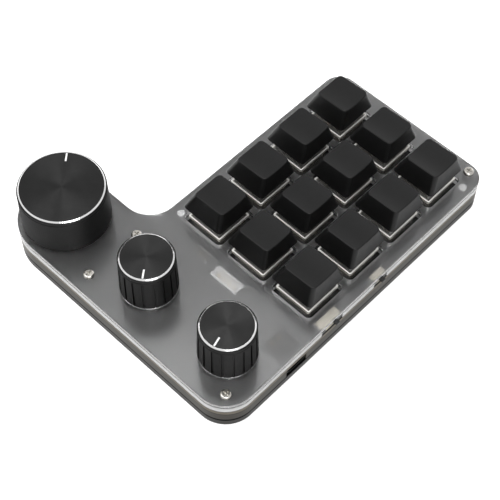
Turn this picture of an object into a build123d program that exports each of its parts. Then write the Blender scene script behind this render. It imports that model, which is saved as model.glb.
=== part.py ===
from build123d import *
import os

os.makedirs("parts", exist_ok=True)

# Plan of the body, in millimetres: a key block with a knob arm to its left
body_depth = 137.7
block_width = 73.4
arm_depth = 35.7
arm_reach = 97.7  # right edge to the large knob's axis
back_corner_radius = 7.1
front_corner_radius = 11.8
inner_corner_radius = 11.3
lever_reach = 1.2  # slide levers stand out past the right edge

# Sheets of the stack, from the desk upwards
foot_height = 1.2
base_thickness = 3.0
liner_thickness = 0.6
port_height = 3.2
port_headroom = 0.8
frame_height = port_height + port_headroom
board_thickness = 1.6
spacer_thickness = 3.0
cover_thickness = 2.0
edge_break = 0.2
frame_wall = 3.0
boss_radius = 4.2

# Keys: three columns and four rows of cross-stem switches
key_pitch = 21.5
key_columns = 3
key_rows = 4
back_margin = 17.45  # back edge to the centres of the back row
flange_size = 15.6
flange_gap = 1.5
key_hole = flange_size + 2 * flange_gap
key_hole_radius = 2.0
switch_seat = 5.0  # board to the underside of the flange
flange_thickness = 1.0
housing_size = 13.9
housing_wall = 1.0
housing_floor = 1.2
housing_top_size = 10.0
housing_top_height = 5.6
housing_roof = 1.2
key_travel = 4.0
slide_fit = 0.3
drill_gap = 0.1
locating_radius = 1.95
locating_length = 3.2
peg_radius = 0.85
peg_offset = 5.08
contact_radius = 0.55
contact_length = 3.0
contact_spots = ((-3.81, 2.54), (2.54, 5.08))
leaf_width = 1.8
leaf_thickness = 0.4
leaf_height = 3.0
leaf_foot = 0.4
pole_radius = 1.14
pole_fit = 0.06
tube_radius = 1.6
tube_top = 4.4
spring_radius = 1.98
wire_radius = 0.16
spring_turns = 7
spring_rest_gap = 0.05
slider_length = 6.6
slider_width = 5.2
lug_length = 8.0
cross_length = 4.0
cross_bar = 1.2
cross_height = 3.6
cross_fit = 0.04

# Keycaps
cap_size = 18.1
cap_corner = 1.5
cap_inner_corner = 0.6
cap_height = 8.2
cap_top_width = 12.7
cap_top_depth = 13.8
cap_top_corner = 1.7
cap_top_shift = 1.05  # the top sits towards the cap's back
cap_top_tilt = 3.0
cap_turn = -90.0  # the backs of the caps face the port's edge
cap_wall = 1.5
cap_roof = 1.5
dish_radius = 34.0
dish_depth = 0.7
cap_edge = 0.45
socket_radius = 2.75

# Knobs and their encoders
middle_knob_inset = 54.8  # right edge to the middle knob's axis
right_knob_inset = 16.7
knob_gap = 1.3
large_radius = 16.3
large_top_radius = 15.9
large_height = 16.6
small_radius = 10.4
small_top_radius = 10.0
small_height = 17.8
knob_bevel = 0.9
ring_groove = 0.35
knob_grip_grooves = 18
grip_groove_width = 0.9
grip_groove_depth = 0.55
grip_end = 1.3
pointer_width = 0.65
pointer_length = 3.6
pointer_depth = 0.25
large_pointer_angle = 131.0
middle_pointer_angle = -52.0
right_pointer_angle = -75.0
encoder_size = 12.0
encoder_height = 3.3
encoder_floor = 0.6
encoder_gap = 0.6
bracket_thickness = 0.9
bracket_leg = 0.4
bracket_leg_width = 2.4
bracket_leg_length = 2.4
bushing_radius = 3.5
bushing_height = 4.8
shaft_radius = 3.0
shaft_fit = 0.05
shaft_flat = 1.5
knob_fit = 0.02
shaft_engagement = 12.0
disc_radius = 4.6
disc_thickness = 0.7
plunger_radius = 1.8
plunger_height = 0.8
push_travel = 0.5
encoder_pin_radius = 0.4
encoder_pin_length = 2.6
encoder_pin_spots = ((-2.5, -5.0), (0.0, -5.0), (2.5, -5.0), (-2.5, 5.0), (2.5, 5.0))

# Slide switches on the right edge
mode_switch_drop = 35.7  # middle of the key field down to each switch
power_switch_drop = 10.2
mode_length = 10.0
mode_depth = 3.6
mode_travel = 4.0
power_length = 6.4
power_depth = 2.6
power_travel = 1.5
can_headroom = 0.4
can_setback = 0.4
can_gap = 0.3
can_face = 0.6
can_skin = 0.35
lever_width = 1.6
lever_height = 1.0
runner_length = 3.0
runner_depth = 1.1
runner_gap = 0.15

# Charging and data port under the board
port_drop = 53.7
port_width = 8.94
port_depth = 7.3
port_skin = 0.3
port_setback = 0.4
port_gap = 0.5
port_leg_width = 1.0
port_leg_thickness = 0.4
port_leg_rise = 0.5
port_leg_setbacks = (2.2, 6.2)
tongue_width = 6.7
tongue_thickness = 0.7
tongue_length = 4.6
tongue_block = 1.6
tongue_fit = 0.03

# Fastenings and the other small pieces
screw_radius = 1.0
screw_hole_radius = 1.2
screw_head_radius = 1.95
screw_head_height = 1.3
screw_end_gap = 0.3
recess_length = 2.2
recess_width = 0.5
recess_depth = 0.8
nut_radius = 2.1
nut_fit = 0.05
thread_fit = 0.02
post_radius = 1.5
post_fit = 0.1
post_inset = 3.7
post_spread = 40.1  # middle of the key field to each post, front to back
arm_screw_inset = 6.35  # front and back edges of the arm to its screws
foot_radius = 4.5
foot_inset = 11.0
header_length = 12.2
header_width = 4.8
header_headroom = 0.3
header_wall = 0.8
header_floor = 0.8
header_pitch = 2.5
header_pins_count = 4
header_pin_radius = 0.32
header_pin_fit = 0.05
window_gap = 0.6
chip_size = 7.0
chip_height = 0.9
small_length = 1.6
small_width = 0.8
small_height_smd = 0.5
battery_length = 26.0
battery_width = 18.0
battery_gap = 0.5
battery_wall_gap = 1.85  # front wall of the frame to the cell
battery_corner = 1.2
tab_width = 2.0
tab_thickness = 0.2

# Levels
base_bottom = foot_height
liner_bottom = base_bottom + base_thickness
frame_bottom = liner_bottom + liner_thickness
board_bottom = frame_bottom + frame_height
board_top = board_bottom + board_thickness
cover_bottom = board_top + spacer_thickness
cover_top = cover_bottom + cover_thickness
flange_top = switch_seat + flange_thickness
housing_top = flange_top + housing_top_height
knob_bottom = cover_top + knob_gap
bracket_top = encoder_height + bracket_thickness
bushing_top = bracket_top + bushing_height

# Plan positions, with the origin under the middle of the whole
right_x = (arm_reach + arm_depth / 2 - lever_reach) / 2
left_x = right_x - block_width
front_y = -body_depth / 2
back_y = body_depth / 2
knob_row_y = front_y + arm_depth / 2
arm_back_y = front_y + arm_depth
key_mid_x = right_x - block_width / 2
key_mid_y = back_y - back_margin - key_pitch * (key_rows - 1) / 2
key_points = []
for row in range(key_rows):
    for column in range(key_columns):
        key_x = key_mid_x + key_pitch * (column - (key_columns - 1) / 2)
        key_y = key_mid_y + key_pitch * ((key_rows - 1) / 2 - row)
        key_points.append((key_x, key_y))
large_x = right_x - arm_reach
middle_x = right_x - middle_knob_inset
right_knob_x = right_x - right_knob_inset
knob_points = [(large_x, knob_row_y), (middle_x, knob_row_y), (right_knob_x, knob_row_y)]
screw_points = [
    (left_x + 6.0, back_y - 3.6),
    (right_x - 6.0, back_y - 3.6),
    (right_x - 6.2, front_y + 6.2),
    (left_x, arm_back_y - arm_screw_inset),
    (left_x, front_y + arm_screw_inset),
]
post_points = [
    (left_x + post_inset, key_mid_y + post_spread),
    (right_x - post_inset, key_mid_y + post_spread),
    (left_x + post_inset, key_mid_y - post_spread),
]
foot_points = [
    (left_x + foot_inset, back_y - foot_inset),
    (right_x - foot_inset, back_y - foot_inset),
    (right_x - foot_inset, front_y + foot_inset),
    (left_x + foot_inset, front_y + foot_inset),
    (large_x, knob_row_y),
]
mode_y = key_mid_y - mode_switch_drop
power_y = key_mid_y - power_switch_drop
port_y = key_mid_y - port_drop
port_face_x = right_x - port_setback
port_axis_z = board_bottom - port_height / 2
port_leg_y = port_width / 2 - port_leg_thickness / 2
port_leg_points = []
for setback in port_leg_setbacks:
    port_leg_points.append((port_face_x - setback, port_y - port_leg_y))
    port_leg_points.append((port_face_x - setback, port_y + port_leg_y))
header_x = key_mid_x - 1.4
header_y = key_mid_y - 48.8
header_pin_points = []
for index in range(header_pins_count):
    pin_x = header_x + header_pitch * (index - (header_pins_count - 1) / 2)
    header_pin_points.append((pin_x, header_y))
small_points = [
    (key_mid_x - 16.9, key_mid_y - 46.6),
    (key_mid_x - 14.1, key_mid_y - 46.6),
    (port_face_x - 9.6, port_y - 1.6),
    (port_face_x - 9.6, port_y + 1.6),
]
chip_x = key_mid_x + 14.0
chip_y = key_mid_y - 49.0
battery_x = (middle_x + right_knob_x) / 2
battery_y = front_y + frame_wall + battery_wall_gap + battery_length / 2

# Outline shared by every sheet
with BuildSketch() as outline:
    with Locations((right_x - block_width / 2, 0)):
        Rectangle(block_width, body_depth)
    with Locations((right_x - arm_reach / 2, knob_row_y)):
        Rectangle(arm_reach, arm_depth)
    with Locations((large_x, knob_row_y)):
        Circle(arm_depth / 2)
    back_corners = outline.vertices().group_by(Axis.Y)[-1]
    fillet(back_corners, back_corner_radius)
    front_corner = outline.vertices().group_by(Axis.Y)[0].sort_by(Axis.X)[-1]
    fillet(front_corner, front_corner_radius)
    inner_corner = outline.vertices().sort_by_distance((left_x, arm_back_y))[0]
    fillet(inner_corner, inner_corner_radius)

encoder_hole_x = encoder_size + 2 * bracket_leg + 2 * encoder_gap
encoder_hole_y = encoder_size + 2 * encoder_gap

# Satin clear cover sheet with polished, slightly broken edges
with BuildPart() as cover_plate:
    with BuildSketch(Plane.XY.offset(cover_bottom)):
        add(outline.sketch)
        with Locations(*key_points):
            RectangleRounded(key_hole, key_hole, key_hole_radius, mode=Mode.SUBTRACT)
        with Locations(*knob_points):
            RectangleRounded(encoder_hole_x, encoder_hole_y, key_hole_radius, mode=Mode.SUBTRACT)
        with Locations(*screw_points):
            Circle(screw_hole_radius, mode=Mode.SUBTRACT)
    extrude(amount=cover_thickness)
    chamfer(cover_plate.faces().sort_by(Axis.Z)[-1].outer_wire().edges(), edge_break)
cover_plate.part.label = "cover_plate"
export_step(cover_plate.part, "parts/cover_plate.step")

# Clear spacer sheet with the same openings, the slide switch notches and windows over board parts
with BuildPart() as clear_spacer:
    with BuildSketch(Plane.XY.offset(board_top)):
        add(outline.sketch)
        with Locations(*key_points):
            RectangleRounded(key_hole, key_hole, key_hole_radius, mode=Mode.SUBTRACT)
        with Locations(*knob_points):
            RectangleRounded(encoder_hole_x, encoder_hole_y, key_hole_radius, mode=Mode.SUBTRACT)
        with Locations(*screw_points):
            Circle(screw_hole_radius, mode=Mode.SUBTRACT)
        with Locations(*post_points):
            Circle(post_radius + post_fit, mode=Mode.SUBTRACT)
        for notch_y, length, depth in ((mode_y, mode_length, mode_depth), (power_y, power_length, power_depth)):
            with Locations((right_x, notch_y)):
                Rectangle(
                    2 * (depth + can_setback + can_gap), length + 2 * can_gap, mode=Mode.SUBTRACT
                )
        with Locations((header_x, header_y)):
            Rectangle(header_length + 2 * window_gap, header_width + 2 * window_gap, mode=Mode.SUBTRACT)
        with Locations((key_mid_x - 15.5, key_mid_y - 46.6)):
            Rectangle(6.4, 3.2, mode=Mode.SUBTRACT)
        with Locations((port_face_x - 6.2, port_y)):
            Rectangle(10.4, port_width + 2 * window_gap, mode=Mode.SUBTRACT)
    extrude(amount=spacer_thickness)
clear_spacer.part.label = "clear_spacer"
export_step(clear_spacer.part, "parts/clear_spacer.step")

# Black circuit board, drilled for switches, encoders, port legs, header pins and screws
with BuildPart() as circuit_board:
    with BuildSketch(Plane.XY.offset(board_bottom)):
        add(outline.sketch)
        with Locations(*key_points):
            Circle(locating_radius + drill_gap, mode=Mode.SUBTRACT)
        for x, y in key_points:
            with Locations((x - peg_offset, y), (x + peg_offset, y)):
                Circle(peg_radius + drill_gap, mode=Mode.SUBTRACT)
            for spot_x, spot_y in contact_spots:
                with Locations((x + spot_x, y + spot_y)):
                    Circle(contact_radius + drill_gap, mode=Mode.SUBTRACT)
        for x, y in knob_points:
            for spot_x, spot_y in encoder_pin_spots:
                with Locations((x + spot_x, y + spot_y)):
                    Circle(encoder_pin_radius + drill_gap, mode=Mode.SUBTRACT)
            leg_x = encoder_size / 2 + bracket_leg / 2
            with Locations((x - leg_x, y), (x + leg_x, y)):
                Rectangle(bracket_leg + 4 * drill_gap, bracket_leg_width + 4 * drill_gap, mode=Mode.SUBTRACT)
        with Locations(*port_leg_points):
            Rectangle(
                port_leg_width + 4 * drill_gap, port_leg_thickness + 4 * drill_gap, mode=Mode.SUBTRACT
            )
        with Locations(*header_pin_points):
            Circle(header_pin_radius + drill_gap, mode=Mode.SUBTRACT)
        with Locations(*screw_points):
            Circle(screw_hole_radius, mode=Mode.SUBTRACT)
    extrude(amount=board_thickness)
circuit_board.part.label = "circuit_board"
export_step(circuit_board.part, "parts/circuit_board.step")

# Grey frame round the space under the board, open at the port
with BuildPart() as port_frame:
    with BuildSketch(Plane.XY.offset(frame_bottom)):
        add(outline.sketch)
        offset(amount=-frame_wall, mode=Mode.SUBTRACT)
        with Locations(*screw_points):
            Circle(boss_radius)
        with Locations((left_x, arm_back_y)):
            Rectangle(2 * frame_wall, 2 * frame_wall)
        add(outline.sketch, mode=Mode.INTERSECT)
        with Locations(*screw_points):
            Circle(screw_hole_radius, mode=Mode.SUBTRACT)
        with Locations((right_x, port_y)):
            Rectangle(4 * frame_wall, port_width + 2 * port_gap, mode=Mode.SUBTRACT)
    extrude(amount=frame_height)
port_frame.part.label = "port_frame"
export_step(port_frame.part, "parts/port_frame.step")

# Thin black liner under the frame
with BuildPart() as black_liner:
    with BuildSketch(Plane.XY.offset(liner_bottom)):
        add(outline.sketch)
        with Locations(*screw_points):
            Circle(screw_hole_radius, mode=Mode.SUBTRACT)
    extrude(amount=liner_thickness)
black_liner.part.label = "black_liner"
export_step(black_liner.part, "parts/black_liner.step")

# Dark grey base sheet with round seats for the press nuts
with BuildPart() as base_plate:
    with BuildSketch(Plane.XY.offset(base_bottom)):
        add(outline.sketch)
        with Locations(*screw_points):
            Circle(nut_radius + nut_fit, mode=Mode.SUBTRACT)
    extrude(amount=base_thickness)
    chamfer(base_plate.faces().sort_by(Axis.Z)[0].outer_wire().edges(), edge_break)
base_plate.part.label = "base_plate"
export_step(base_plate.part, "parts/base_plate.step")

# Rubber feet
with BuildPart() as rubber_feet:
    with BuildSketch(Plane.XY):
        with Locations(*foot_points):
            Circle(foot_radius)
    extrude(amount=foot_height)
rubber_feet.part.label = "rubber_feet"
export_step(rubber_feet.part, "parts/rubber_feet.step")

# Press nuts in the base
with BuildPart() as press_nuts:
    with BuildSketch(Plane.XY.offset(base_bottom)):
        with Locations(*screw_points):
            Circle(nut_radius)
            Circle(screw_radius + thread_fit, mode=Mode.SUBTRACT)
    extrude(amount=base_thickness)
press_nuts.part.label = "press_nuts"
export_step(press_nuts.part, "parts/press_nuts.step")

# Cross-recess pan-head screws through the whole stack
with BuildPart() as screws:
    with BuildSketch(Plane.XY.offset(cover_top)):
        with Locations(*screw_points):
            Circle(screw_head_radius)
    extrude(amount=screw_head_height)
    fillet(screws.edges().group_by(Axis.Z)[-1], screw_head_height / 2)
    with BuildSketch(Plane.XY.offset(base_bottom + screw_end_gap)):
        with Locations(*screw_points):
            Circle(screw_radius)
    extrude(amount=cover_top - base_bottom - screw_end_gap)
    with BuildSketch(Plane.XY.offset(cover_top + screw_head_height)):
        with Locations(*screw_points):
            Rectangle(recess_length, recess_width)
            Rectangle(recess_width, recess_length)
    extrude(amount=-recess_depth, mode=Mode.SUBTRACT)
screws.part.label = "screws"
export_step(screws.part, "parts/screws.step")

# White posts between the board and the cover
with BuildPart() as white_posts:
    with BuildSketch(Plane.XY.offset(board_top)):
        with Locations(*post_points):
            Circle(post_radius)
    extrude(amount=spacer_thickness)
white_posts.part.label = "white_posts"
export_step(white_posts.part, "parts/white_posts.step")

# Switch bottom: floor, walls, flange, spring tube, locating post and pegs
with BuildPart() as bottom_form:
    with BuildSketch(Plane.XY):
        RectangleRounded(housing_size, housing_size, 0.5)
    extrude(amount=switch_seat)
    with BuildSketch(Plane.XY.offset(switch_seat)):
        RectangleRounded(flange_size, flange_size, 0.6)
    extrude(amount=flange_thickness)
    with BuildSketch(Plane.XY.offset(housing_floor)):
        Rectangle(housing_size - 2 * housing_wall, housing_size - 2 * housing_wall)
    extrude(amount=flange_top - housing_floor, mode=Mode.SUBTRACT)
    with BuildSketch(Plane.XY):
        Circle(tube_radius)
    extrude(amount=tube_top)
    with BuildSketch(Plane.XY.offset(-locating_length)):
        Circle(locating_radius)
        with Locations((-peg_offset, 0), (peg_offset, 0)):
            Circle(peg_radius)
    extrude(amount=locating_length)
    with BuildSketch(Plane.XY.offset(-locating_length + 0.4)):
        Circle(pole_radius + pole_fit)
    extrude(amount=locating_length + tube_top, mode=Mode.SUBTRACT)
    with BuildSketch(Plane.XY):
        with Locations(*contact_spots):
            Circle(contact_radius + drill_gap)
    extrude(amount=housing_floor, mode=Mode.SUBTRACT)

with BuildPart() as switch_bottoms:
    with Locations(*[(x, y, board_top) for x, y in key_points]):
        add(bottom_form.part)
switch_bottoms.part.label = "switch_bottoms"
export_step(switch_bottoms.part, "parts/switch_bottoms.step")

# Switch top: a tapered cover with the stem's opening
roof_bottom = housing_top - housing_roof
with BuildPart() as top_form:
    with BuildSketch(Plane.XY.offset(flange_top)):
        RectangleRounded(housing_size, housing_size, 0.8)
    with BuildSketch(Plane.XY.offset(housing_top)):
        RectangleRounded(housing_top_size, housing_top_size, 0.8)
    loft()
    with BuildSketch(Plane.XY.offset(flange_top)):
        Rectangle(housing_size - 2 * housing_wall, housing_size - 2 * housing_wall)
    with BuildSketch(Plane.XY.offset(roof_bottom)):
        Rectangle(lug_length + 2 * slide_fit, lug_length + 2 * slide_fit)
    loft(mode=Mode.SUBTRACT)
    with BuildSketch(Plane.XY.offset(roof_bottom)):
        Rectangle(slider_length + 2 * slide_fit, 2 * socket_radius + 2 * slide_fit)
    extrude(amount=housing_roof, mode=Mode.SUBTRACT)

with BuildPart() as switch_tops:
    with Locations(*[(x, y, board_top) for x, y in key_points]):
        add(top_form.part)
switch_tops.part.label = "switch_tops"
export_step(switch_tops.part, "parts/switch_tops.step")

# Switch contacts: a pin through the board, and a leaf on a foot that stands clear of the stem's path
with BuildPart() as contact_form:
    for spot_x, spot_y in contact_spots:
        with BuildSketch(Plane.XY.offset(-contact_length)):
            with Locations((spot_x, spot_y)):
                Circle(contact_radius)
        extrude(amount=contact_length + housing_floor)
        leaf_y = max(spot_y, slider_width / 2 + slide_fit + leaf_thickness / 2)
        with BuildSketch(Plane.XY.offset(housing_floor)):
            with Locations((spot_x, (spot_y + leaf_y) / 2)):
                Rectangle(leaf_width, leaf_y - spot_y + leaf_thickness)
        extrude(amount=leaf_foot)
        with BuildSketch(Plane.XY.offset(housing_floor)):
            with Locations((spot_x, leaf_y)):
                Rectangle(leaf_width, leaf_thickness)
        extrude(amount=leaf_height)

with BuildPart() as switch_contacts:
    with Locations(*[(x, y, board_top) for x, y in key_points]):
        add(contact_form.part)
switch_contacts.part.label = "switch_contacts"
export_step(switch_contacts.part, "parts/switch_contacts.step")

# Stem: guided slider with retaining lugs, spring seat, pole and cross
cap_bottom = housing_top
slider_top = housing_top - 0.2
lug_top = roof_bottom - 0.1
slider_bottom = housing_floor + key_travel + 1.2
seat_top = lug_top - 1.0
pole_bottom = key_travel - locating_length + 0.8
with BuildPart() as stem_form:
    with BuildSketch(Plane.XY.offset(slider_bottom)):
        Rectangle(lug_length, slider_width)
    extrude(amount=lug_top - slider_bottom)
    with BuildSketch(Plane.XY.offset(lug_top)):
        Rectangle(slider_length, slider_width)
    extrude(amount=slider_top - lug_top)
    with BuildSketch(Plane.XY.offset(slider_bottom)):
        Circle(spring_radius + wire_radius + 0.25)
    extrude(amount=seat_top - slider_bottom, mode=Mode.SUBTRACT)
    with BuildSketch(Plane.XY.offset(pole_bottom)):
        Circle(pole_radius)
    extrude(amount=seat_top - pole_bottom)
    with BuildSketch(Plane.XY.offset(slider_top)):
        Rectangle(cross_length, cross_bar)
        Rectangle(cross_bar, cross_length)
    extrude(amount=cross_height)

for number, (x, y) in enumerate(key_points, start=1):
    with BuildPart() as key_stem:
        with Locations((x, y, board_top)):
            add(stem_form.part)
    key_stem.part.label = f"key_stem_{number}"
    export_step(key_stem.part, f"parts/key_stem_{number}.step")

# Switch springs between the housing floor and the stem's seat
coil_height = seat_top - housing_floor - 2 * (wire_radius + spring_rest_gap)
coil_start = housing_floor + wire_radius + spring_rest_gap
with BuildPart() as spring_form:
    with BuildLine() as coil:
        Helix(coil_height / spring_turns, coil_height, spring_radius, center=(0, 0, coil_start))
    with BuildSketch(Plane(origin=coil.line @ 0, z_dir=coil.line % 0)):
        Circle(wire_radius)
    sweep(path=coil.line, is_frenet=True)

with BuildPart() as switch_springs:
    with Locations(*[(x, y, board_top) for x, y in key_points]):
        add(spring_form.part)
switch_springs.part.label = "switch_springs"
export_step(switch_springs.part, "parts/switch_springs.step")

# Keycap: tapered shell with a dished top and a cross socket
cap_top_plane = Plane(
    origin=(0, cap_top_shift, cap_height), x_dir=(1, 0, 0), z_dir=Vector(0, 0, 1).rotate(Axis.X, cap_top_tilt)
)
with BuildPart() as cap_form:
    with BuildSketch(Plane.XY):
        RectangleRounded(cap_size, cap_size, cap_corner)
    with BuildSketch(cap_top_plane):
        RectangleRounded(cap_top_width, cap_top_depth, cap_top_corner)
    loft()
    with BuildSketch(cap_top_plane.rotated((90, 0, 0))):
        with Locations((0, dish_radius - dish_depth)):
            Circle(dish_radius)
    extrude(amount=cap_size, both=True, mode=Mode.SUBTRACT)
    fillet(cap_form.faces().filter_by(GeomType.CYLINDER).sort_by(SortBy.AREA)[-1].edges(), cap_edge)
    with BuildSketch(Plane.XY):
        RectangleRounded(cap_size - 2 * cap_wall, cap_size - 2 * cap_wall, cap_inner_corner)
    with BuildSketch(cap_top_plane.offset(-cap_roof - dish_depth)):
        RectangleRounded(cap_top_width - 2 * cap_wall, cap_top_depth - 2 * cap_wall, cap_inner_corner)
    loft(mode=Mode.SUBTRACT)
    with BuildSketch(Plane.XY):
        Circle(socket_radius)
    extrude(amount=cap_height - cap_roof)
    with BuildSketch(Plane.XY):
        Rectangle(cross_length + 2 * cross_fit, cross_bar + 2 * cross_fit)
        Rectangle(cross_bar + 2 * cross_fit, cross_length + 2 * cross_fit)
    extrude(amount=cross_height, mode=Mode.SUBTRACT)

for number, (x, y) in enumerate(key_points, start=1):
    with BuildPart() as keycap:
        with Locations(Location((x, y, board_top + cap_bottom), (0, 0, cap_turn))):
            add(cap_form.part)
    keycap.part.label = f"keycap_{number}"
    export_step(keycap.part, f"parts/keycap_{number}.step")

# Encoder bodies: square cases open at the top
with BuildPart() as encoder_form:
    with BuildSketch(Plane.XY):
        Rectangle(encoder_size, encoder_size)
    extrude(amount=encoder_height)
    with BuildSketch(Plane.XY.offset(encoder_floor)):
        Circle(disc_radius + encoder_gap)
    extrude(amount=encoder_height - encoder_floor, mode=Mode.SUBTRACT)

with BuildPart() as encoder_bodies:
    with Locations(*[(x, y, board_top) for x, y in knob_points]):
        add(encoder_form.part)
encoder_bodies.part.label = "encoder_bodies"
export_step(encoder_bodies.part, "parts/encoder_bodies.step")

# Encoder pins through the board
with BuildPart() as encoder_pins:
    with BuildSketch(Plane.XY.offset(board_top - encoder_pin_length)):
        for x, y in knob_points:
            for spot_x, spot_y in encoder_pin_spots:
                with Locations((x + spot_x, y + spot_y)):
                    Circle(encoder_pin_radius)
    extrude(amount=encoder_pin_length)
encoder_pins.part.label = "encoder_pins"
export_step(encoder_pins.part, "parts/encoder_pins.step")

# Encoder brackets: steel plate with bushing and two legs
with BuildPart() as bracket_form:
    with BuildSketch(Plane.XY.offset(encoder_height)):
        Rectangle(encoder_size + 2 * bracket_leg, encoder_size)
    extrude(amount=bracket_thickness)
    with BuildSketch(Plane.XY.offset(bracket_top)):
        Circle(bushing_radius)
    extrude(amount=bushing_height)
    with BuildSketch(Plane.XY.offset(encoder_height)):
        Circle(shaft_radius + shaft_fit)
    extrude(amount=bracket_thickness + bushing_height, mode=Mode.SUBTRACT)
    with BuildSketch(Plane.XY.offset(-bracket_leg_length)):
        leg_x = encoder_size / 2 + bracket_leg / 2
        with Locations((-leg_x, 0), (leg_x, 0)):
            Rectangle(bracket_leg, bracket_leg_width)
    extrude(amount=bracket_leg_length + encoder_height)

with BuildPart() as encoder_brackets:
    with Locations(*[(x, y, board_top) for x, y in knob_points]):
        add(bracket_form.part)
encoder_brackets.part.label = "encoder_brackets"
export_step(encoder_brackets.part, "parts/encoder_brackets.step")

# Encoder shafts with a code disc and a flat for the knob
disc_bottom = encoder_floor + plunger_height + push_travel + 0.3
shaft_bottom = disc_bottom - 0.2
plunger_bottom = shaft_bottom - plunger_height
flat_bottom = bushing_top + push_travel + 0.5
shaft_top = knob_bottom - board_top + shaft_engagement
with BuildPart() as shaft_form:
    with BuildSketch(Plane.XY.offset(shaft_bottom)):
        Circle(shaft_radius)
    extrude(amount=shaft_top - shaft_bottom)
    with BuildSketch(Plane.XY.offset(disc_bottom)):
        Circle(disc_radius)
    extrude(amount=disc_thickness)
    with BuildSketch(Plane.XY.offset(flat_bottom)):
        with Locations((2 * shaft_radius - shaft_flat, 0)):
            Rectangle(2 * shaft_radius, 2 * shaft_radius)
    extrude(amount=shaft_top - flat_bottom, mode=Mode.SUBTRACT)

with BuildPart() as plunger_form:
    with BuildSketch(Plane.XY.offset(plunger_bottom)):
        Circle(plunger_radius)
    extrude(amount=plunger_height)


def knob_form(base_radius, top_radius, height, grooves, pocket):
    """Turned knob with a bevelled rim, a bore with a flat, and a pointer slot; its axis is Z, its base z = 0."""
    bore_top = shaft_top + board_top - knob_bottom + 0.3
    recess_top = bushing_top + push_travel + 0.5 + board_top - knob_bottom
    groove_z = height - knob_bevel - 0.9
    with BuildPart() as knob:
        with BuildSketch(Plane.XZ):
            with BuildLine():
                Polyline(
                    (0, 0),
                    (base_radius - 0.3, 0),
                    (base_radius, 0.3),
                    (base_radius, grip_end - 0.3),
                    (top_radius, groove_z - ring_groove),
                    (top_radius - ring_groove, groove_z),
                    (top_radius, groove_z + ring_groove),
                    (top_radius, height - knob_bevel),
                    (top_radius - knob_bevel, height),
                    (0, height),
                    close=True,
                )
            make_face()
        revolve(axis=Axis.Z)
        if grooves:
            with BuildSketch(Plane.XY.offset(grip_end)):
                with PolarLocations(base_radius, grooves):
                    Rectangle(2 * grip_groove_depth + base_radius - top_radius, grip_groove_width)
            extrude(amount=groove_z - 2 * ring_groove - grip_end, mode=Mode.SUBTRACT)
        with BuildSketch(Plane.XY):
            Circle(bushing_radius + 0.6)
        extrude(amount=recess_top, mode=Mode.SUBTRACT)
        with BuildSketch(Plane.XY.offset(recess_top)):
            Circle(shaft_radius + knob_fit)
            with Locations((2 * shaft_radius - shaft_flat + knob_fit, 0)):
                Rectangle(2 * shaft_radius, 3 * shaft_radius, mode=Mode.SUBTRACT)
        extrude(amount=bore_top - recess_top, mode=Mode.SUBTRACT)
        if pocket:
            with BuildSketch(Plane.XY):
                Circle(base_radius - 2.2)
                Circle(bushing_radius + 3.0, mode=Mode.SUBTRACT)
            extrude(amount=height - 4.0, mode=Mode.SUBTRACT)
        with BuildSketch(Plane.XY.offset(height)):
            with Locations((top_radius - knob_bevel - 0.3 - pointer_length / 2, 0)):
                Rectangle(pointer_length, pointer_width)
        extrude(amount=-pointer_depth, mode=Mode.SUBTRACT)
    return knob.part


large_form = knob_form(large_radius, large_top_radius, large_height, 0, True)
small_form = knob_form(small_radius, small_top_radius, small_height, knob_grip_grooves, False)
knob_sets = (
    ("large", large_x, large_pointer_angle, large_form),
    ("middle", middle_x, middle_pointer_angle, small_form),
    ("right", right_knob_x, right_pointer_angle, small_form),
)
for name, x, angle, form in knob_sets:
    with BuildPart() as knob:
        with Locations(Location((x, knob_row_y, knob_bottom), (0, 0, angle))):
            add(form)
    knob.part.label = f"{name}_knob"
    export_step(knob.part, f"parts/{name}_knob.step")
    with BuildPart() as shaft:
        with Locations(Location((x, knob_row_y, board_top), (0, 0, angle))):
            add(shaft_form.part)
    shaft.part.label = f"{name}_shaft"
    export_step(shaft.part, f"parts/{name}_shaft.step")
    with BuildPart() as plunger:
        with Locations((x, knob_row_y, board_top)):
            add(plunger_form.part)
    plunger.part.label = f"{name}_plunger"
    export_step(plunger.part, f"parts/{name}_plunger.step")

# Slide switches: steel cans with a slotted face, and a lever on a runner inside each
can_height = spacer_thickness - can_headroom
can_x = right_x - can_setback
can_mid = board_top + can_height / 2
runner_height = can_height - 2 * can_skin - 2 * runner_gap
with BuildPart() as slide_switch_cans:
    for can_y, length, depth, travel in (
        (mode_y, mode_length, mode_depth, mode_travel),
        (power_y, power_length, power_depth, power_travel),
    ):
        with BuildSketch(Plane.XY.offset(board_top)):
            with Locations((can_x - depth / 2, can_y)):
                Rectangle(depth, length)
        extrude(amount=can_height)
        with BuildSketch(Plane.XY.offset(board_top + can_skin)):
            with Locations((can_x - can_face - runner_gap - runner_depth / 2, can_y)):
                Rectangle(runner_depth + 2 * runner_gap, runner_length + travel + 2 * runner_gap)
        extrude(amount=can_height - 2 * can_skin, mode=Mode.SUBTRACT)
        with BuildSketch(Plane.XY.offset(can_mid - lever_height / 2 - runner_gap)):
            with Locations((can_x - can_face / 2, can_y)):
                Rectangle(can_face, lever_width + travel + 2 * runner_gap)
        extrude(amount=lever_height + 2 * runner_gap, mode=Mode.SUBTRACT)
slide_switch_cans.part.label = "slide_switch_cans"
export_step(slide_switch_cans.part, "parts/slide_switch_cans.step")

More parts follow.
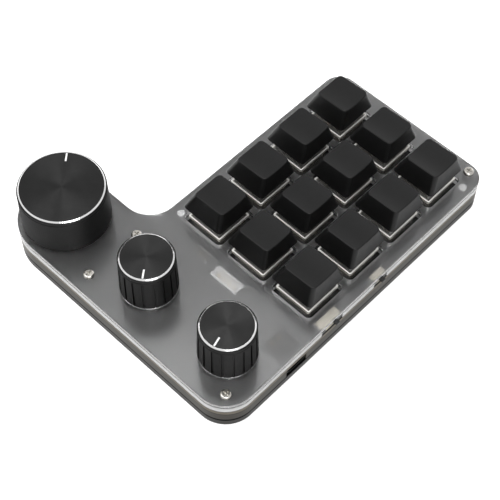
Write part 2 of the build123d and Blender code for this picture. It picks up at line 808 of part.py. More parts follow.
lever_length = can_setback + can_face + runner_gap + lever_reach
for name, lever_y in (("mode_slider", mode_y + mode_travel / 2), ("power_slider", power_y + power_travel / 2)):
    with BuildPart() as slider:
        with BuildSketch(Plane.XY.offset(can_mid - lever_height / 2)):
            with Locations((right_x + lever_reach - lever_length / 2, lever_y)):
                Rectangle(lever_length, lever_width)
        extrude(amount=lever_height)
        chamfer(slider.faces().sort_by(Axis.X)[-1].edges(), edge_break)
        with BuildSketch(Plane.XY.offset(can_mid - runner_height / 2)):
            with Locations((can_x - can_face - runner_gap - runner_depth / 2, lever_y)):
                Rectangle(runner_depth, runner_length)
        extrude(amount=runner_height)
    slider.part.label = name
    export_step(slider.part, f"parts/{name}.step")

# Charging and data port: a rounded steel shell with four legs, and the insulating tongue inside
with BuildPart() as port_shell:
    with BuildSketch(Plane.YZ.offset(port_face_x)):
        with Locations((port_y, port_axis_z)):
            SlotOverall(port_width, port_height)
    extrude(amount=-port_depth)
    with BuildSketch(Plane.XY.offset(port_axis_z)):
        with Locations(*port_leg_points):
            Rectangle(port_leg_width, port_leg_thickness)
    extrude(amount=board_top + port_leg_rise - port_axis_z)
    with BuildSketch(Plane.YZ.offset(port_face_x)):
        with Locations((port_y, port_axis_z)):
            SlotOverall(port_width - 2 * port_skin, port_height - 2 * port_skin)
    extrude(amount=-port_depth, mode=Mode.SUBTRACT)
port_shell.part.label = "port_shell"
export_step(port_shell.part, "parts/port_shell.step")

inner_width = port_width - 2 * port_skin - 2 * tongue_fit
inner_height = port_height - 2 * port_skin - 2 * tongue_fit
with BuildPart() as port_tongue:
    with BuildSketch(Plane.YZ.offset(port_face_x - port_depth)):
        with Locations((port_y, port_axis_z)):
            SlotOverall(inner_width, inner_height)
    extrude(amount=tongue_block)
    with BuildSketch(Plane.YZ.offset(port_face_x - port_depth + tongue_block)):
        with Locations((port_y, port_axis_z)):
            Rectangle(tongue_width, tongue_thickness)
    extrude(amount=tongue_length)
port_tongue.part.label = "port_tongue"
export_step(port_tongue.part, "parts/port_tongue.step")

# White lead header on the board, and its pins
header_height = spacer_thickness - header_headroom
with BuildPart() as white_header:
    with BuildSketch(Plane.XY.offset(board_top)):
        with Locations((header_x, header_y)):
            Rectangle(header_length, header_width)
    extrude(amount=header_height)
    with BuildSketch(Plane.XY.offset(board_top + header_floor)):
        with Locations((header_x, header_y)):
            Rectangle(header_length - 2 * header_wall, header_width - 2 * header_wall)
    extrude(amount=header_height - header_floor, mode=Mode.SUBTRACT)
    with BuildSketch(Plane.XY.offset(board_top)):
        with Locations(*header_pin_points):
            Circle(header_pin_radius + header_pin_fit)
    extrude(amount=header_floor, mode=Mode.SUBTRACT)
white_header.part.label = "white_header"
export_step(white_header.part, "parts/white_header.step")

with BuildPart() as header_pins:
    with BuildSketch(Plane.XY.offset(board_bottom - 0.8)):
        with Locations(*header_pin_points):
            Circle(header_pin_radius)
    extrude(amount=board_thickness + header_height)
header_pins.part.label = "header_pins"
export_step(header_pins.part, "parts/header_pins.step")

# Controller chip under the board
with BuildPart() as controller_chip:
    with BuildSketch(Plane.XY.offset(board_bottom - chip_height)):
        with Locations((chip_x, chip_y)):
            Rectangle(chip_size, chip_size)
    extrude(amount=chip_height)
controller_chip.part.label = "controller_chip"
export_step(controller_chip.part, "parts/controller_chip.step")

# Small parts on the board's top
with BuildPart() as small_parts:
    with BuildSketch(Plane.XY.offset(board_top)):
        with Locations(*small_points):
            Rectangle(small_width, small_length)
    extrude(amount=small_height_smd)
small_parts.part.label = "small_parts"
export_step(small_parts.part, "parts/small_parts.step")

# Flat cell on the liner, with two tabs up to the board
with BuildPart() as battery:
    with BuildSketch(Plane.XY.offset(frame_bottom)):
        with Locations((battery_x, battery_y)):
            RectangleRounded(battery_width, battery_length, battery_corner)
    extrude(amount=frame_height - battery_gap)
    with BuildSketch(Plane.XY.offset(frame_bottom + 1)):
        for side in (-1, 1):
            with Locations((battery_x + side * 4.0, battery_y + battery_length / 2 + tab_thickness / 2)):
                Rectangle(tab_width, tab_thickness)
    extrude(amount=frame_height - 1)
battery.part.label = "battery"
export_step(battery.part, "parts/battery.step")
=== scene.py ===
# %% [markdown]
# # A layered macro keypad, dressed in Blender
# The object is a desk keypad: twelve black keys and three black knobs on an L-shaped stack of clear and
# grey sheets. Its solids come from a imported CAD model, which is loaded here as a frame that never changes.
# Blender then adds what solids lack: finishes, the clear sheets as light sees them, and a small studio.
# Lengths are metres. +Z is up from the desk, +Y runs from the knob row to the far key row, and +X points to
# the edge with the port and the slide switches.

# %% Load the frame
import math

import bmesh
import bpy
from mathutils import Matrix, Vector


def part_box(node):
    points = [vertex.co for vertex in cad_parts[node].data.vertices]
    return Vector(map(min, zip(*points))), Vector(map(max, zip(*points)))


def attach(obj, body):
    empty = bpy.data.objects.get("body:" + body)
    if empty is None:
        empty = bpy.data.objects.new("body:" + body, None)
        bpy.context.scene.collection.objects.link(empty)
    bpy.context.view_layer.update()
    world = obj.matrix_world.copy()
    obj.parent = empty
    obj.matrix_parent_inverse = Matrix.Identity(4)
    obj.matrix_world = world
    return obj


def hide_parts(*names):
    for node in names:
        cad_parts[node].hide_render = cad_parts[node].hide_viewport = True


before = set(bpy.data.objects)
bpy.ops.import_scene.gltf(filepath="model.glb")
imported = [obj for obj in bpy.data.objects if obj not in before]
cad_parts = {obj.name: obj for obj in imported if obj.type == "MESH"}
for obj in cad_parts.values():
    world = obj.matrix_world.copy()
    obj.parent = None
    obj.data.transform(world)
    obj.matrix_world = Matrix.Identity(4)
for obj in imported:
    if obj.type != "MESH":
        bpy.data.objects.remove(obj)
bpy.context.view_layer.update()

# %% [markdown]
# ## Small tools for shader trees
# A finish is a tree of nodes that ends in a Principled shader. Building trees by hand takes many lines, so
# these helpers add one node each. `feed` takes either a plain value or another node's output, which lets
# the finishes below read almost like formulas, and `dress` feeds several sockets of one node at once.

# %% Tree helpers
def start(name):
    material = bpy.data.materials.new(name)
    material.use_nodes = True
    tree = material.node_tree
    return material, tree, tree.nodes["Principled BSDF"]


def node(tree, kind, **settings):
    made = tree.nodes.new(kind)
    for key, value in settings.items():
        setattr(made, key, value)
    return made


def feed(tree, socket, value):
    if isinstance(value, bpy.types.NodeSocket):
        tree.links.new(value, socket)
    else:
        socket.default_value = value


def dress(tree, target, sockets):
    for name, value in sockets.items():
        feed(tree, target.inputs[name], value)


print("tree helpers ready")

# %% Arithmetic helpers
MIX_SOCKETS = {"FLOAT": (2, 3, 0), "RGBA": (6, 7, 2)}


def compute(tree, operation, a, b=0.0):
    made = node(tree, "ShaderNodeMath", operation=operation)
    feed(tree, made.inputs[0], a)
    feed(tree, made.inputs[1], b)
    return made.outputs[0]


def mix(tree, kind, factor, a, b):
    made = node(tree, "ShaderNodeMix", data_type=kind)
    first, second, result = MIX_SOCKETS[kind]
    feed(tree, made.inputs["Factor"], factor)
    feed(tree, made.inputs[first], a)
    feed(tree, made.inputs[second], b)
    return made.outputs[result]


def mix_colour(tree, factor, a, b):
    return mix(tree, "RGBA", factor, a, b)


def mix_value(tree, factor, a, b):
    return mix(tree, "FLOAT", factor, a, b)


def split(tree, vector):
    parts = node(tree, "ShaderNodeSeparateXYZ")
    feed(tree, parts.inputs[0], vector)
    return parts.outputs


print("arithmetic helpers ready")

# %% [markdown]
# ## Where a pattern sits
# Patterns read Object coordinates. Every node of the frame sits at the origin, so these are real metres on
# the object, and a noise scale of 300 means patches of about 3 mm. `faces_up` tells the flat faces of a
# sheet from its cut edges, because saws and lasers leave edges that look different from the faces, and
# `near_rims` finds the thin strips of an edge next to the sheet's two faces, where painted shade goes.

# %% Pattern helpers
RIM_LINE = 0.0004
FLAT_LIMIT = 0.6
DETAIL = 3.0
EVEN = (1.0, 1.0, 1.0)


def coordinates(tree):
    return node(tree, "ShaderNodeTexCoord").outputs["Object"]


def noise(tree, scale, detail=DETAIL, stretch=EVEN):
    mapping = node(tree, "ShaderNodeMapping")
    feed(tree, mapping.inputs["Vector"], coordinates(tree))
    feed(tree, mapping.inputs["Scale"], stretch)
    made = node(tree, "ShaderNodeTexNoise")
    dress(tree, made, {"Vector": mapping.outputs[0], "Scale": scale, "Detail": detail})
    return made.outputs[0]


def faces_up(tree):
    upright = split(tree, node(tree, "ShaderNodeNewGeometry").outputs["Normal"])[2]
    return compute(tree, "GREATER_THAN", compute(tree, "ABSOLUTE", upright), FLAT_LIMIT)


def height_of(tree):
    return split(tree, coordinates(tree))[2]


def middle_of(name):
    low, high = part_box(name)
    return [(a + b) / 2 for a, b in zip(low, high)]


def near_rims(tree, name):
    low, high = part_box(name)
    lower = compute(tree, "LESS_THAN", height_of(tree), low[2] + RIM_LINE)
    upper = compute(tree, "GREATER_THAN", height_of(tree), high[2] - RIM_LINE)
    return compute(tree, "MAXIMUM", lower, upper)


def raise_bump(tree, shader, height, strength, distance):
    made = node(tree, "ShaderNodeBump")
    dress(tree, made, {"Strength": strength, "Distance": distance, "Height": height})
    feed(tree, shader.inputs["Normal"], made.outputs[0])


print("pattern helpers ready")

# %% [markdown]
# ## Colours
# Most of the object is grey, and some of its greys lean warm. So a colour is a brightness times a tint, and
# `shade` makes a darker or lighter version of it for patches and rims. `between` lets a pattern choose
# between two brightnesses of one tint.

# %% Colours
IVORY = (1.0, 0.97, 0.90)
SMOKE = (1.0, 0.90, 0.74)
TIN = (1.0, 0.95, 0.84)
RED_PLASTIC = (0.30, 0.03, 0.02, 1.0)
GILT = (0.75, 0.58, 0.32, 1.0)
BRASS = (0.72, 0.52, 0.22, 1.0)
CERAMIC = (0.40, 0.31, 0.20, 1.0)


def grey(value, tint=EVEN):
    return (value * tint[0], value * tint[1], value * tint[2], 1.0)


def shade(colour, amount):
    return tuple(min(1.0, part * amount) for part in colour[:3]) + (1.0,)


def between(tree, factor, tones, tint=EVEN):
    return mix_colour(tree, factor, grey(tones[0], tint), grey(tones[1], tint))


print("ivory half tone:", grey(0.5, IVORY))

# %% [markdown]
# ## Two families of everyday finish
# Moulded plastic is never quite even: its colour drifts a little and its surface has a fine grain from the
# mould. Plated and turned metal keeps its colour better, but its polish varies more. One function makes each
# family, so that a finish later is one short call with its colour and polish.

# %% Plastic and metal
RIM_SHADE = 0.2
PLASTIC_POLISH_DRIFT = 0.15
METAL_POLISH_DRIFT = 0.25
GRAIN_SCALE, GRAIN_DETAIL, GRAIN_HEIGHT = 9000.0, 2.0, 0.00003


def around(tree, factor, value, drift):
    return mix_value(tree, factor, value * (1 - drift), value * (1 + drift))


def drifting(tree, factor, colour, drift):
    return mix_colour(tree, factor, shade(colour, 1 - drift), shade(colour, 1 + drift))


def plastic(name, colour, rough, drift=0.12, patch=300.0, grain=0.1, clear=0.0, shine=0.5, shaded_rims=None):
    material, tree, shader = start(name)
    patches = noise(tree, patch)
    body = drifting(tree, patches, colour, drift)
    # Painted shade: a thin darker line along the rims of a sheet's edge stands in for the shade at its sharp
    # corners.
    if shaded_rims:
        body = mix_colour(tree, near_rims(tree, shaded_rims), body, shade(colour, RIM_SHADE))
    dress(tree, shader, {
        "Base Color": body,
        "Roughness": around(tree, patches, rough, PLASTIC_POLISH_DRIFT),
        "Transmission Weight": clear,
        "Specular IOR Level": shine,
    })
    raise_bump(tree, shader, noise(tree, GRAIN_SCALE, GRAIN_DETAIL), grain, GRAIN_HEIGHT)
    return material


def metal(name, colour, rough, drift=0.08, patch=700.0):
    material, tree, shader = start(name)
    patches = noise(tree, patch)
    dress(tree, shader, {
        "Base Color": drifting(tree, patches, colour, drift),
        "Roughness": around(tree, patches, rough, METAL_POLISH_DRIFT),
        "Metallic": 1.0,
    })
    return material


def paint(material, *names):
    for name in names:
        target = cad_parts[name] if isinstance(name, str) else name
        target.data.materials.clear()
        target.data.materials.append(material)


print("finish families ready")

# %% [markdown]
# ## The two clear sheets
# The top sheet is satin acrylic, and a clear sheet lies under it. In the CAD their faces touch, and two
# glass faces in one place confuse a renderer. So each sheet is drawn again from a merged copy of its mesh,
# with both faces drawn in by two hundredths of a millimetre. Light then meets one face at a time.

# %% Draw the sheets again
SHEET_GAP = 0.00002
MERGE_DISTANCE = 0.000001
SMOOTH_BELOW = math.radians(30)


def piece_from(name, shape):
    mesh = bpy.data.meshes.new(name)
    shape.to_mesh(mesh)
    shape.free()
    piece = bpy.data.objects.new(name, mesh)
    bpy.context.scene.collection.objects.link(piece)
    return piece


def drawn_in(name):
    middle = middle_of(name)[2]
    sheet = bmesh.new()
    sheet.from_mesh(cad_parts[name].data)
    bmesh.ops.remove_doubles(sheet, verts=sheet.verts, dist=MERGE_DISTANCE)
    below = [vertex for vertex in sheet.verts if vertex.co.z < middle]
    above = [vertex for vertex in sheet.verts if vertex.co.z >= middle]
    bmesh.ops.translate(sheet, verts=below, vec=(0.0, 0.0, SHEET_GAP))
    bmesh.ops.translate(sheet, verts=above, vec=(0.0, 0.0, -SHEET_GAP))
    for face in sheet.faces:
        face.smooth = True
    for edge in sheet.edges:
        edge.smooth = edge.calc_face_angle(0.0) < SMOOTH_BELOW
    piece = piece_from(name + "_clear", sheet)
    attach(piece, "base")
    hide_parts(name)
    return piece


cover = drawn_in("cover_plate")
spacer = drawn_in("clear_spacer")
print("clear sheets:", len(cover.data.polygons), len(spacer.data.polygons), "faces")

# %% [markdown]
# Only the cover's upper face is satin. It blurs what lies under it and mirrors the knobs as soft dark
# shapes; its underside and the sheet below are polished. The cutter leaves the edges finely matt and
# streaked, and they gather light from all round, so they shine paler than the faces. Their sharp corners
# shed light and look dark, so a thin dark line of painted shade runs along each rim of the edge. A share of
# plain diffuse colour gives the veil, thin on the faces and thick on the edges. Volume scatter would be
# truer, but it is slow and the exported model would lose it.

# %% Acrylic
ACRYLIC_IOR = 1.49
POLISHED = 0.06
CLOUD_SCALE, CLOUD_SHADE = 60.0, 0.94
EDGE_STREAKS = (40.0, 40.0, 2600.0)
STREAK_TONES = (0.55, 1.0)
CORNER_SHADE_TONE = 0.05


def acrylic(name, tone, face_rough, face_clear, edge_rough, edge_clear,
            tint=EVEN, shaded_rims=None, satin_over=None, shine=0.5):
    material, tree, shader = start(name)
    face = faces_up(tree)
    clouded = between(tree, noise(tree, CLOUD_SCALE), (tone * CLOUD_SHADE, tone), tint)
    edge = between(tree, noise(tree, 1.0, stretch=EDGE_STREAKS), STREAK_TONES, tint)
    # Painted shade: the rims of the edge turn nearly black where the sharp corners shed light.
    if shaded_rims:
        edge = mix_colour(tree, near_rims(tree, shaded_rims), edge, grey(CORNER_SHADE_TONE))
    if satin_over:
        over = compute(tree, "GREATER_THAN", height_of(tree), satin_over)
        face_rough = mix_value(tree, over, POLISHED, face_rough)
    dress(tree, shader, {
        "Base Color": mix_colour(tree, face, edge, clouded),
        "Roughness": mix_value(tree, face, edge_rough, face_rough),
        "Transmission Weight": mix_value(tree, face, edge_clear, face_clear),
        "IOR": ACRYLIC_IOR,
        "Specular IOR Level": shine,
    })
    return material


print("acrylic bends light by", ACRYLIC_IOR)

# %% Sheet finishes
satin = acrylic(
    "satin acrylic", tone=0.80, face_rough=0.28, face_clear=0.970, edge_rough=0.25, edge_clear=0.68,
    shaded_rims="cover_plate", satin_over=middle_of("cover_plate")[2], shine=1.0,
)
clear = acrylic(
    "clear acrylic", tone=0.92, face_rough=POLISHED, face_clear=0.98, edge_rough=0.25, edge_clear=0.45,
    shaded_rims="clear_spacer",
)
paint(satin, cover)
paint(clear, spacer)
print("acrylic on", cover.name, spacer.name)

# %% [markdown]
# ## The board and the sheets below it
# A circuit board is black where it is lacquered and brown on its cut edge, where layers of glass cloth show.
# The layers come from a noise that is squeezed along Z. Under the board lie a smoky grey frame, a thin black
# liner and a dark base sheet.

# %% Board finish
BOARD_LAYERS = (150.0, 150.0, 9000.0)
CLOTH_DARK = (0.050, 0.040, 0.026, 1.0)
CLOTH_PALE = (0.120, 0.098, 0.066, 1.0)
LACQUER_SCALE, LACQUER_TONES = 220.0, (0.008, 0.016)
CUT_ROUGH, LACQUER_ROUGH = 0.6, 0.35

board, tree, shader = start("black board")
cut_edge = mix_colour(tree, noise(tree, 1.0, stretch=BOARD_LAYERS), CLOTH_DARK, CLOTH_PALE)
lacquer = between(tree, noise(tree, LACQUER_SCALE), LACQUER_TONES)
lacquered = faces_up(tree)
dress(tree, shader, {
    "Base Color": mix_colour(tree, lacquered, cut_edge, lacquer),
    "Roughness": mix_value(tree, lacquered, CUT_ROUGH, LACQUER_ROUGH),
})
paint(board, "circuit_board")
print("board painted")

# %% Lower sheets and feet
# The smoky frame and the dark base sheet get thin lines of painted shade along the rims of their edges.
LOWER_SHEET = {"patch": 90.0, "grain": 0.02, "clear": 0.05, "shine": 0.05}

smoky = plastic("smoky acrylic", grey(0.040, SMOKE), rough=0.35, shaded_rims="port_frame", **LOWER_SHEET)
dark = plastic("dark acrylic", grey(0.032, IVORY), rough=0.35, shaded_rims="base_plate", **LOWER_SHEET)
paint(smoky, "port_frame")
paint(plastic("black liner", grey(0.003), rough=0.55, shine=0.0), "black_liner")
paint(dark, "base_plate")
paint(plastic("foot rubber", grey(0.020), rough=0.80, grain=0.3), "rubber_feet")
print("lower sheets painted")

# %% [markdown]
# ## Keys
# The caps are black plastic with a fine grain, so their tops are soft grey under the light and their sides
# fall to black. The shape is all in the frame: a dished top, a lean to one side and rounded edges. Below
# them are the switch housings, moulded in clear plastic. It behaves like the acrylic, and the walls let the
# dark board show through. The rim of each housing's ledge catches the light as a thin bright line round the
# key, and that line is a painted highlight: the rim is painted near white and less clear than the rest. The
# keys repeat at one pitch, so folding the coordinates at that pitch finds all twelve rims at once.

# %% Housing finish
KEY_PITCH = 0.0215
LEDGE_SIZE = 0.0156
LEDGE_HIGHLIGHT_BAND = 0.0006
RIM_HIGHLIGHT_TINT = (1.0, 0.98, 0.94)
MOULD_SCALE, MOULD_TONES, MOULD_ROUGH = 400.0, (0.75, 0.90), (0.18, 0.26)
WALL_CLEAR, RIM_HIGHLIGHT_CLEAR = 0.85, 0.05


def ledge_rim_highlights(tree):
    key_middle = middle_of("keycap_1")
    here = split(tree, coordinates(tree))
    away = []
    for axis in range(2):
        from_first = compute(tree, "SUBTRACT", here[axis], key_middle[axis])
        away.append(compute(tree, "PINGPONG", from_first, KEY_PITCH / 2))
    furthest = compute(tree, "MAXIMUM", away[0], away[1])
    outside = compute(tree, "GREATER_THAN", furthest, LEDGE_SIZE / 2 - LEDGE_HIGHLIGHT_BAND)
    return compute(tree, "MULTIPLY", outside, faces_up(tree))


housing, tree, shader = start("pale housing")
painted_rim_highlight = ledge_rim_highlights(tree)
patches = noise(tree, MOULD_SCALE)
moulded = between(tree, patches, MOULD_TONES, IVORY)
dress(tree, shader, {
    # Painted highlight: the ledge rims get a near-white colour and little transmission.
    "Base Color": mix_colour(tree, painted_rim_highlight, moulded, grey(1.0, RIM_HIGHLIGHT_TINT)),
    "Transmission Weight": mix_value(tree, painted_rim_highlight, WALL_CLEAR, RIM_HIGHLIGHT_CLEAR),
    "Roughness": mix_value(tree, patches, *MOULD_ROUGH),
    "IOR": ACRYLIC_IOR,
})
paint(housing, "switch_bottoms")
print("housings painted")

# %% Key finishes
KEY_COUNT = 12
HOUSING_TINT = (1.0, 0.98, 0.93)

key_black = plastic("cap plastic", grey(0.004), rough=0.42, drift=0.25, patch=500.0, grain=0.12, shine=0.2)
stem_red = plastic("stem plastic", RED_PLASTIC, rough=0.40)
for number in range(1, KEY_COUNT + 1):
    paint(key_black, f"keycap_{number}")
    paint(stem_red, f"key_stem_{number}")
clear_housing = acrylic(
    "clear housing", tone=0.80, face_rough=0.15, face_clear=0.60, edge_rough=0.15, edge_clear=0.90,
    tint=HOUSING_TINT,
)
paint(clear_housing, "switch_tops")
paint(metal("spring wire", grey(0.60), rough=0.25), "switch_springs")
paint(metal("gilt contact", GILT, rough=0.30), "switch_contacts", "encoder_pins", "header_pins")
print("keys painted:", KEY_COUNT)

# %% [markdown]
# ## Knobs
# Each knob is turned from metal and dyed black. A fine cut after dyeing bares the upper part of the bevel,
# so it is bright; the small knobs have a bright foot too. Separate pieces could make these bands, but masks
# by height and radius from the knob's own axis place them on the one mesh that the frame has.

# %% Knob bands
KNOB_BEVEL = 0.0009
KNOB_TAPER = 0.0004
BRIGHT_BAND = 0.00042
FOOT_BAND = 0.00095
MASK_EASE = 0.00005


def flat_radius(knob):
    low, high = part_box(knob)
    return (high[0] - low[0]) / 2 - KNOB_TAPER - KNOB_BEVEL


def from_axis(tree, knob):
    x_middle, y_middle = middle_of(knob)[:2]
    local = node(tree, "ShaderNodeVectorMath", operation="SUBTRACT")
    feed(tree, local.inputs[0], coordinates(tree))
    feed(tree, local.inputs[1], (x_middle, y_middle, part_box(knob)[0][2]))
    x, y, z = split(tree, local.outputs[0])
    square = compute(tree, "ADD", compute(tree, "MULTIPLY", x, x), compute(tree, "MULTIPLY", y, y))
    return compute(tree, "SQRT", square), compute(tree, "ARCTAN2", y, x), z


def knob_bands(tree, knob, radius, z, bright_foot):
    low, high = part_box(knob)
    above = compute(tree, "GREATER_THAN", z, high[2] - low[2] - KNOB_BEVEL - MASK_EASE)
    inside = compute(tree, "LESS_THAN", radius, flat_radius(knob) - MASK_EASE)
    spun = compute(tree, "MULTIPLY", above, inside)
    ringed = compute(tree, "LESS_THAN", radius, flat_radius(knob) + BRIGHT_BAND)
    bright = compute(tree, "MULTIPLY", compute(tree, "SUBTRACT", above, spun), ringed)
    if bright_foot:
        bright = compute(tree, "MAXIMUM", bright, compute(tree, "LESS_THAN", z, FOOT_BAND))
    return spun, bright


print("flat top of the large knob:", round(flat_radius("large_knob"), 5))

# %% [markdown]
# The lathe leaves fine rings on the top, and light spreads across such rings, so highlights fan out from the
# middle. The shader gets a tangent that runs round the axis, and a quarter turn of its anisotropy points the
# spread across the rings. Upright lines on the wall are fine on the large knob and coarse on the small ones.

# %% Knob finish
TURNED_RING = 0.00022
FINE_LINES, COARSE_LINES = 120.0, 18.0
RELIEF_STRENGTH, RELIEF_HEIGHT = 0.25, 0.00002
DYE_SCALE, WALL_TONES, SPUN_TONES = 250.0, (0.018, 0.025), (0.024, 0.032)
BARE_TONE = 0.72
WALL_ROUGH, SPUN_ROUGH, BRIGHT_ROUGH = 0.60, 0.30, 0.16
SPREAD, QUARTER_TURN = 0.85, 0.25


def turned_black(name, knob, bright_foot, wall_lines):
    material, tree, shader = start(name)
    radius, angle, z = from_axis(tree, knob)
    spun, bright = knob_bands(tree, knob, radius, z, bright_foot)
    cloud = noise(tree, DYE_SCALE)
    dyed = mix_colour(tree, spun, between(tree, cloud, WALL_TONES), between(tree, cloud, SPUN_TONES))
    dyed_rough = mix_value(tree, spun, WALL_ROUGH, SPUN_ROUGH)
    dress(tree, shader, {
        "Base Color": mix_colour(tree, bright, dyed, grey(BARE_TONE)),
        "Roughness": mix_value(tree, bright, dyed_rough, BRIGHT_ROUGH),
        "Metallic": 1.0,
        "Anisotropic": SPREAD,
        "Anisotropic Rotation": QUARTER_TURN,
        "Tangent": node(tree, "ShaderNodeTangent", direction_type="RADIAL", axis="Z").outputs[0],
    })
    rings = compute(tree, "SINE", compute(tree, "MULTIPLY", radius, 2 * math.pi / TURNED_RING))
    lines = compute(tree, "SINE", compute(tree, "MULTIPLY", angle, wall_lines))
    raise_bump(tree, shader, mix_value(tree, spun, lines, rings), RELIEF_STRENGTH, RELIEF_HEIGHT)
    return material


large_black = turned_black("large knob black", "large_knob", bright_foot=False, wall_lines=FINE_LINES)
middle_black = turned_black("middle knob black", "middle_knob", bright_foot=True, wall_lines=COARSE_LINES)
right_black = turned_black("right knob black", "right_knob", bright_foot=True, wall_lines=COARSE_LINES)
paint(large_black, "large_knob")
paint(middle_black, "middle_knob")
paint(right_black, "right_knob")
print("knobs painted: 3")

# %% [markdown]
# White paint fills the pointer slot on each knob. A paint fill is nearly flat with softened edges, so a bar
# a little smaller than the slot, with a small bevel, is enough. It rides on its dial, so it turns with the
# knob.

# %% Pointers
POINTER_LENGTH, POINTER_WIDTH, POINTER_DEPTH = 0.0036, 0.00065, 0.00025
POINTER_EASE = 0.00002
POINTER_BEVEL = 0.00003
POINTER_RIM_GAP = 0.0003
pointer_white = plastic("pointer paint", grey(0.85), rough=0.45, drift=0.05)


def pointer(knob, dial, turn):
    x_middle, y_middle = middle_of(knob)[:2]
    knob_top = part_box(knob)[1][2]
    reach = flat_radius(knob) - POINTER_RIM_GAP - POINTER_LENGTH / 2
    sides = [size - 2 * POINTER_EASE for size in (POINTER_LENGTH, POINTER_WIDTH, POINTER_DEPTH)]
    bar = bmesh.new()
    bmesh.ops.create_cube(bar, size=1.0)
    bmesh.ops.scale(bar, vec=sides, verts=bar.verts)
    bmesh.ops.bevel(
        bar, geom=bar.edges[:], offset=POINTER_BEVEL, segments=2, profile=0.5, affect="EDGES", material=-1,
    )
    centre = Matrix.Translation((x_middle, y_middle, knob_top - POINTER_DEPTH / 2))
    place = centre @ Matrix.Rotation(math.radians(turn), 4, "Z") @ Matrix.Translation((reach, 0.0, 0.0))
    bmesh.ops.transform(bar, matrix=place, verts=bar.verts)
    piece = piece_from(knob + "_pointer", bar)
    paint(pointer_white, piece)
    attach(piece, dial)
    return piece


pointers = [
    pointer("large_knob", "large_dial", turn=131.0),
    pointer("middle_knob", "middle_dial", turn=-52.0),
    pointer("right_knob", "right_dial", turn=-75.0),
]
print("pointers:", [piece.name for piece in pointers])

# %% [markdown]
# ## Encoders, fastenings and board parts
# Under the cover these pieces are seen only as soft shapes, and at the edges they show plainly. Their forms
# are in the frame, so each needs only the right finish: bright steel, brass, nylon, moulded black and
# ceramic. The port shell is painted near black as the shade inside its recess. The slide switches' cans are
# bright tin on top, and their sides, which lie in the sheet's notch, are painted dark as shade.

# %% Metal pieces
paint(metal("turned shaft", grey(0.65), rough=0.28), "large_shaft", "middle_shaft", "right_shaft")
paint(metal("tinned bracket", grey(0.60), rough=0.32), "encoder_brackets")
paint(metal("screw steel", grey(0.42, IVORY), rough=0.26), "screws")
paint(metal("nut brass", BRASS, rough=0.30), "press_nuts")
# Painted shade: the port's steel shell gets a near-black colour for the shade inside its recess.
paint(metal("shadowed port shell", grey(0.02), rough=0.45), "port_shell")
print("metal pieces painted")

# %% Slide switch cans
CAN_SCALE, CAN_ROUGH = 700.0, 0.65
CAN_SHADED_SIDE_TONES, CAN_TOP_TONES = (0.10, 0.16), (0.88, 1.0)

can, tree, shader = start("switch can")
patches = noise(tree, CAN_SCALE)
can_painted_shade_side = between(tree, patches, CAN_SHADED_SIDE_TONES)
can_top = between(tree, patches, CAN_TOP_TONES, TIN)
dress(tree, shader, {
    # Painted shade: the can's upright sides are painted dark, its top stays bright tin.
    "Base Color": mix_colour(tree, faces_up(tree), can_painted_shade_side, can_top),
    "Roughness": CAN_ROUGH,
    "Metallic": 1.0,
})
paint(can, "slide_switch_cans")
print("slide switch cans painted")

# %% Plastic pieces
encoder_black = plastic("encoder case", grey(0.020), rough=0.50)
paint(encoder_black, "encoder_bodies", "large_plunger", "middle_plunger", "right_plunger")
paint(plastic("white nylon", grey(0.85), rough=0.40, drift=0.05), "white_posts", "white_header")
paint(plastic("lever black", grey(0.015), rough=0.40), "mode_slider", "power_slider", "port_tongue")
paint(plastic("chip black", grey(0.012), rough=0.45, patch=900.0, grain=0.2), "controller_chip")
paint(plastic("chip ceramic", CERAMIC, rough=0.50, patch=900.0), "small_parts")
paint(plastic("cell wrap", grey(0.50), rough=0.35, drift=0.20), "battery")
print("plastic pieces painted")

# %% [markdown]
# ## Studio
# The object stands on a pale floor in a white room, as in a catalogue. A white room would flood the object
# with light, so only rays from the camera, and mirror and glass rays, see it white; other rays meet a dimmer
# grey. The floor does the same with a little glow, and still takes the object's shadow.

# %% Floor
FLOOR_REACH = 4.0
FLOOR_GLOW = 0.62
FLOOR_SCALE, FLOOR_TONES, FLOOR_ROUGH = 3.0, (0.78, 0.82), 0.9


def seen_directly(tree):
    path = node(tree, "ShaderNodeLightPath").outputs
    mirrored = compute(tree, "MAXIMUM", path["Is Glossy Ray"], path["Is Transmission Ray"])
    return compute(tree, "MAXIMUM", path["Is Camera Ray"], mirrored)


ground = bmesh.new()
bmesh.ops.create_grid(ground, x_segments=1, y_segments=1, size=FLOOR_REACH)
floor = piece_from("floor", ground)
pale_floor, tree, shader = start("pale floor")
dress(tree, shader, {
    "Base Color": between(tree, noise(tree, FLOOR_SCALE), FLOOR_TONES),
    "Roughness": FLOOR_ROUGH,
    "Specular IOR Level": 0.0,
    "Emission Color": grey(1.0),
    "Emission Strength": compute(tree, "MULTIPLY", seen_directly(tree), FLOOR_GLOW),
})
paint(pale_floor, floor)
print("floor ready")

# %% Room
ROOM_LIGHT = 0.32

world = bpy.data.worlds.new("white room")
world.use_nodes = True
bpy.context.scene.world = world
tree = world.node_tree
room_colour = mix_colour(tree, seen_directly(tree), grey(ROOM_LIGHT), grey(1.0))
feed(tree, tree.nodes["Background"].inputs["Color"], room_colour)
bpy.context.scene.view_settings.view_transform = "Standard"
print("room ready")

# %% [markdown]
# Five soft boxes do the rest. A strong lamp behind the object would mirror in every flat top and wash the
# blacks out, so the main one stands at the front left, where it lights the front edges. A weaker one at the
# front right evens the light on the cover, a small one overhead draws the fans on the spun knob tops, and a
# weak one at the back draws a thin line of light along the far edges. The faintest stands where the cover
# mirrors it: it lifts the open parts of the satin face, and the knobs keep it from the patches in front of
# them.

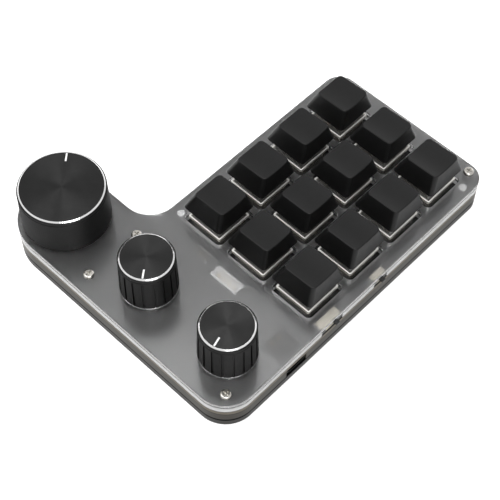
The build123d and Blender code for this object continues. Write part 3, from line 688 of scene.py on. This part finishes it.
# %% Lamps
def soft_box(name, place, size, power):
    data = bpy.data.lights.new(name, "AREA")
    data.shape = "SQUARE"
    data.size = size
    data.energy = power
    lamp = bpy.data.objects.new(name, data)
    lamp.location = place
    lamp.rotation_euler = (-Vector(place)).to_track_quat("-Z", "Y").to_euler()
    bpy.context.scene.collection.objects.link(lamp)
    return lamp


lamps = [
    soft_box("front left", (-0.35, -0.40, 0.80), size=0.6, power=4.2),
    soft_box("front right", (0.55, -0.35, 0.70), size=0.5, power=3.4),
    soft_box("overhead", (0.20, -0.21, 0.92), size=0.3, power=3.2),
    soft_box("back", (-0.10, 0.75, 0.40), size=0.4, power=1.2),
    soft_box("cover glow", (-0.22, 0.18, 0.83), size=0.22, power=0.40),
]
print("lamps:", [lamp.name for lamp in lamps])

# %% [markdown]
# ## Camera
# The view looks down on the front right corner. Its angles, distance and focal length were fitted to the key
# field, the knob rims, the screws and the edges of the body, so the render lines up with the photograph.

# %% Camera
AZIMUTH, ELEVATION, ROLL = math.radians(43.188), math.radians(56.729), math.radians(0.806)
TARGET = Vector((0.019941, -0.018906, 0.0220))
DISTANCE = 0.44981
SENSOR_MM, FOCAL_PIXELS, PICTURE_PIXELS = 36.0, 1290.995, 500.0
NEAREST = 0.01

level_reach = math.cos(ELEVATION)
back = Vector((math.sin(AZIMUTH) * level_reach, -math.cos(AZIMUTH) * level_reach, math.sin(ELEVATION)))
level = Vector((0.0, 0.0, 1.0)).cross(back).normalized()
rise = back.cross(level)
right = math.cos(ROLL) * level + math.sin(ROLL) * rise
up = math.cos(ROLL) * rise - math.sin(ROLL) * level
lens = bpy.data.cameras.new("camera")
lens.sensor_width = SENSOR_MM
lens.lens = SENSOR_MM * FOCAL_PIXELS / PICTURE_PIXELS
lens.clip_start = NEAREST
camera = bpy.data.objects.new("camera", lens)
facing = Matrix((right, up, back)).transposed().to_4x4()
camera.matrix_world = Matrix.Translation(TARGET + back * DISTANCE) @ facing
bpy.context.scene.collection.objects.link(camera)
bpy.context.scene.camera = camera
print("camera at", [round(part, 4) for part in camera.matrix_world.translation])
